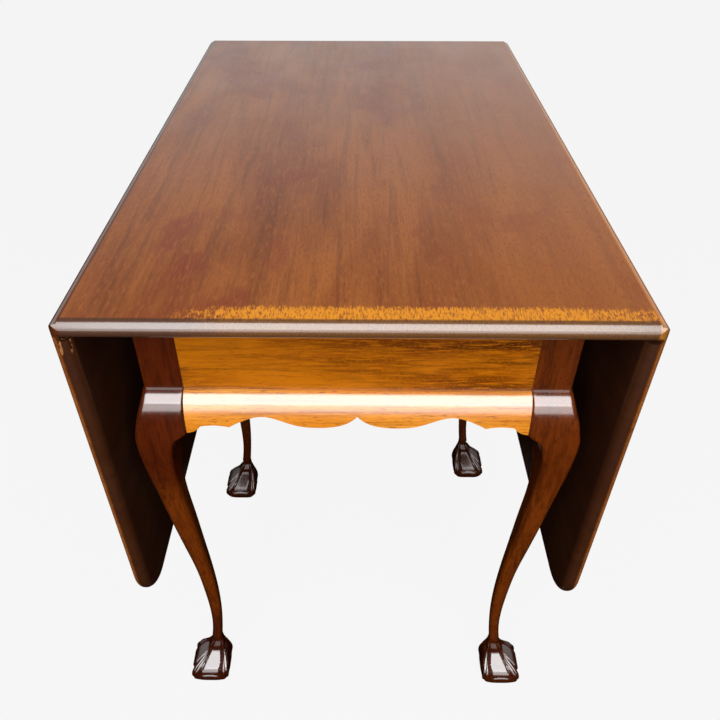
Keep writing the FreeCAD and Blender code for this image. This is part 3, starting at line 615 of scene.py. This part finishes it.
def loft(name, rings):
    """A closed mesh through rings of the same number of points, from bottom to top."""
    count = len(rings[0])
    points = [point for ring in rings for point in ring]
    faces = [tuple(reversed(range(count)))]
    for level in range(len(rings) - 1):
        low, high = level * count, (level + 1) * count
        for i in range(count):
            j = (i + 1) % count
            faces.append((low + i, low + j, high + j, high + i))
    top = (len(rings) - 1) * count
    faces.append(tuple(range(top, top + count)))
    mesh = bpy.data.meshes.new(name)
    mesh.from_pydata(points, [], faces)
    mesh.validate()
    piece = bpy.data.objects.new(name, mesh)
    bpy.context.scene.collection.objects.link(piece)
    return piece


def smooth_shading(piece, angle_degrees):
    piece.data.shade_smooth()
    piece.data.set_sharp_from_angle(angle=math.radians(angle_degrees))


def ledge_height():
    """Top of the knees, where the posts begin."""
    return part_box("end_rail_near")[0].z


def carved_leg(node):
    """A leg in one piece: square post, cabriole knee and shin, claw and ball foot."""
    carving = settings("carving")
    edges = mesh_edges(node)
    ledge = ledge_height()
    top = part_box(node)[1].z
    post_heights = [ledge + rise for rise in POST_FOOT] + [top - SKIN]
    rings = [leg_ring(edges, z, carving) for z in leg_heights(ledge) + post_heights]
    piece = loft(node + "_carved", rings)
    smooth_shading(piece, CREASE_DEGREES)
    return piece


# ---- operators ----------------------------------------------------------------------------------------
class TABLE_OT_legs(bpy.types.Operator):
    """Carves the six legs and puts them where the plain ones stand"""
    bl_idname = "table.carve_legs"
    bl_label = "Carve legs"

    def execute(self, context):
        handled = polished_mahogany_leg("mahogany_french_polished_leg", 1.0, 0.0)
        # The swing legs stand in the table's shadow: their copy is darkened all over by a painted shade and
        # has a duller coat.
        sheltered_and_shaded = polished_mahogany_leg("mahogany_french_polished_swing_leg", 0.3, 0.5)
        for node, body in LEGS.items():
            leg = carved_leg(node)
            leg.data.materials.append(handled if body == "frame" else sheltered_and_shaded)
            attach(leg, body)
            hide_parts(node)
        return {"FINISHED"}


class TABLE_OT_top(bpy.types.Operator):
    """Polishes the top and the two leaves"""
    bl_idname = "table.polish_top"
    bl_label = "Polish top and leaves"

    def execute(self, context):
        dress(["table_top"], polished_mahogany_top())
        for leaf in LEAVES:
            dress([leaf], polished_mahogany_leaf(leaf))
        return {"FINISHED"}


class TABLE_OT_ends(bpy.types.Operator):
    """Polishes the end rails and the shaped skirts"""
    bl_idname = "table.polish_ends"
    bl_label = "Polish ends"

    def execute(self, context):
        dress(END_RAILS, polished_mahogany_rail())
        dress(END_SKIRTS, polished_mahogany_skirt())
        return {"FINISHED"}


class TABLE_OT_frame(bpy.types.Operator):
    """Gives the hidden frame and the swing rails their oak"""
    bl_idname = "table.finish_frame"
    bl_label = "Finish frame"

    def execute(self, context):
        dress(OAK, sawn_oak())
        return {"FINISHED"}


class TABLE_OT_irons(bpy.types.Operator):
    """Gives hinges, screws and pins their metals"""
    bl_idname = "table.finish_irons"
    bl_label = "Finish irons"

    def execute(self, context):
        dress(FLAPS, old_iron("iron_forged_blackened", "#3a3633", "#3d2216", 0.5))
        dress(SCREWS, old_iron("steel_turned_dull", "#77716a", "#4a3022", 0.38))
        dress(PINS, old_iron("steel_drawn_worn", "#8b8680", "#4a3022", 0.32))
        return {"FINISHED"}


def area_light(name, place, tilt_degrees, size, power):
    data = bpy.data.lights.new(name, "AREA")
    data.shape = "RECTANGLE"
    data.size, data.size_y = size
    data.energy = power
    light = bpy.data.objects.new(name, data)
    light.location = place
    light.rotation_euler = Euler((math.radians(tilt_degrees), 0.0, 0.0))
    bpy.context.scene.collection.objects.link(light)


def studio_world(stage):
    """A dim room with a pale far wall, brightest near the horizon, and nothing below the floor's level."""
    world = bpy.data.worlds.new("studio")
    world.use_nodes = True
    tree = world.node_tree
    tree.nodes.clear()
    direction = add(tree, "ShaderNodeTexCoord", out="Generated")
    split = add(tree, "ShaderNodeSeparateXYZ", {"Vector": direction})
    rise, ahead = split.outputs["Z"], split.outputs["Y"]
    wall = add(tree, "ShaderNodeMapRange", {
        "Value": rise,
        "From Min": math.sin(WALL_TOP),
        "From Max": math.sin(WALL_FOOT),
        "To Min": stage.above,
        "To Max": stage.wall,
    }, "Result", interpolation_type="SMOOTHSTEP")
    over_floor = add(tree, "ShaderNodeMapRange", {
        "Value": rise, "From Min": -0.02, "From Max": 0.01,
    }, "Result")
    far_side = add(tree, "ShaderNodeMapRange", {
        "Value": ahead, "From Min": 0.0, "From Max": 0.6, "To Min": SIDE_LIGHT, "To Max": 1.0,
    }, "Result")
    room = meeting(tree, wall, over_floor, far_side)
    sky = add(tree, "ShaderNodeBackground", {"Color": (1.0, 1.0, 1.0, 1.0), "Strength": room}, "Background")
    add(tree, "ShaderNodeOutputWorld", {"Surface": sky})
    bpy.context.scene.world = world


def paper_floor(stage):
    """A wide sheet of pale paper on the ground, lit from beneath: even, matt, with the faintest tooth."""
    material = new_material("paper_matt_pale")
    tree = material.node_tree
    tooth = grain(tree, "X", 3.0, 3.0, 0.0, 2.0)
    rough = add(tree, "ShaderNodeBump", {"Height": tooth, "Strength": 0.05, "Distance": 0.1 * MM}, "Normal")
    shader = add(tree, "ShaderNodeBsdfPrincipled", {
        "Base Color": (0.02, 0.02, 0.02, 1.0),
        "Roughness": 0.9,
        "Specular IOR Level": 0.0,
        "Emission Color": stage.floor,
        "Emission Strength": stage.floor_glow,
        "Normal": rough,
    }, "BSDF")
    add(tree, "ShaderNodeOutputMaterial", {"Surface": shader})
    corners = [(x * FLOOR_HALF, y * FLOOR_HALF, 0) for x, y in ((-1, -1), (1, -1), (1, 1), (-1, 1))]
    mesh = bpy.data.meshes.new("floor")
    mesh.from_pydata(corners, [], [(0, 1, 2, 3)])
    mesh.materials.append(material)
    floor = bpy.data.objects.new("floor", mesh)
    # The sheet glows for the camera alone, so that the table's upright faces stay dark.
    floor.visible_glossy = False
    floor.visible_diffuse = False
    bpy.context.scene.collection.objects.link(floor)


class TABLE_OT_stage(bpy.types.Operator):
    """Lays the floor, hangs the lights and sets up the camera"""
    bl_idname = "table.set_stage"
    bl_label = "Set stage"

    def execute(self, context):
        stage = settings("stage")
        paper_floor(stage)
        studio_world(stage)
        area_light("softbox", SOFTBOX_PLACE, SOFTBOX_TILT, SOFTBOX_SIZE, stage.softbox)
        area_light("panel", PANEL_PLACE, PANEL_TILT, PANEL_SIZE, stage.panel)
        camera_data = bpy.data.cameras.new("camera")
        camera_data.lens = stage.lens
        camera_data.shift_x = stage.shift
        camera = bpy.data.objects.new("camera", camera_data)
        camera.location = (stage.eye_side, -stage.eye_back, stage.eye_height)
        camera.rotation_euler = Euler((math.pi / 2 - stage.tilt, 0.0, stage.turn))
        context.scene.collection.objects.link(camera)
        context.scene.camera = camera
        context.scene.view_settings.view_transform = "Standard"
        return {"FINISHED"}


class TABLE_PT_pieces(bpy.types.Panel):
    """Shows a button for each step that builds the table"""
    bl_label = "Drop leaf table"
    bl_idname = "TABLE_PT_pieces"
    bl_space_type = "VIEW_3D"
    bl_region_type = "UI"
    bl_category = "Table"

    def draw(self, context):
        for operator in OPERATORS:
            self.layout.operator(operator.bl_idname)


GROUPS = {"woods": TABLE_PG_woods, "carving": TABLE_PG_carving, "stage": TABLE_PG_stage}
OPERATORS = (TABLE_OT_stage, TABLE_OT_legs, TABLE_OT_top, TABLE_OT_ends, TABLE_OT_frame, TABLE_OT_irons)


def register():
    for cls in (*GROUPS.values(), *OPERATORS, TABLE_PT_pieces):
        bpy.utils.register_class(cls)
    for name, group in GROUPS.items():
        setattr(bpy.types.Scene, "drop_leaf_" + name, PointerProperty(type=group))


def unregister():
    for name in GROUPS:
        delattr(bpy.types.Scene, "drop_leaf_" + name)
    for cls in (TABLE_PT_pieces, *OPERATORS, *GROUPS.values()):
        bpy.utils.unregister_class(cls)


def main():
    register()
    bpy.ops.table.set_stage()
    bpy.ops.table.carve_legs()
    bpy.ops.table.polish_top()
    bpy.ops.table.polish_ends()
    bpy.ops.table.finish_frame()
    bpy.ops.table.finish_irons()


if __name__ == "__main__":
    main()
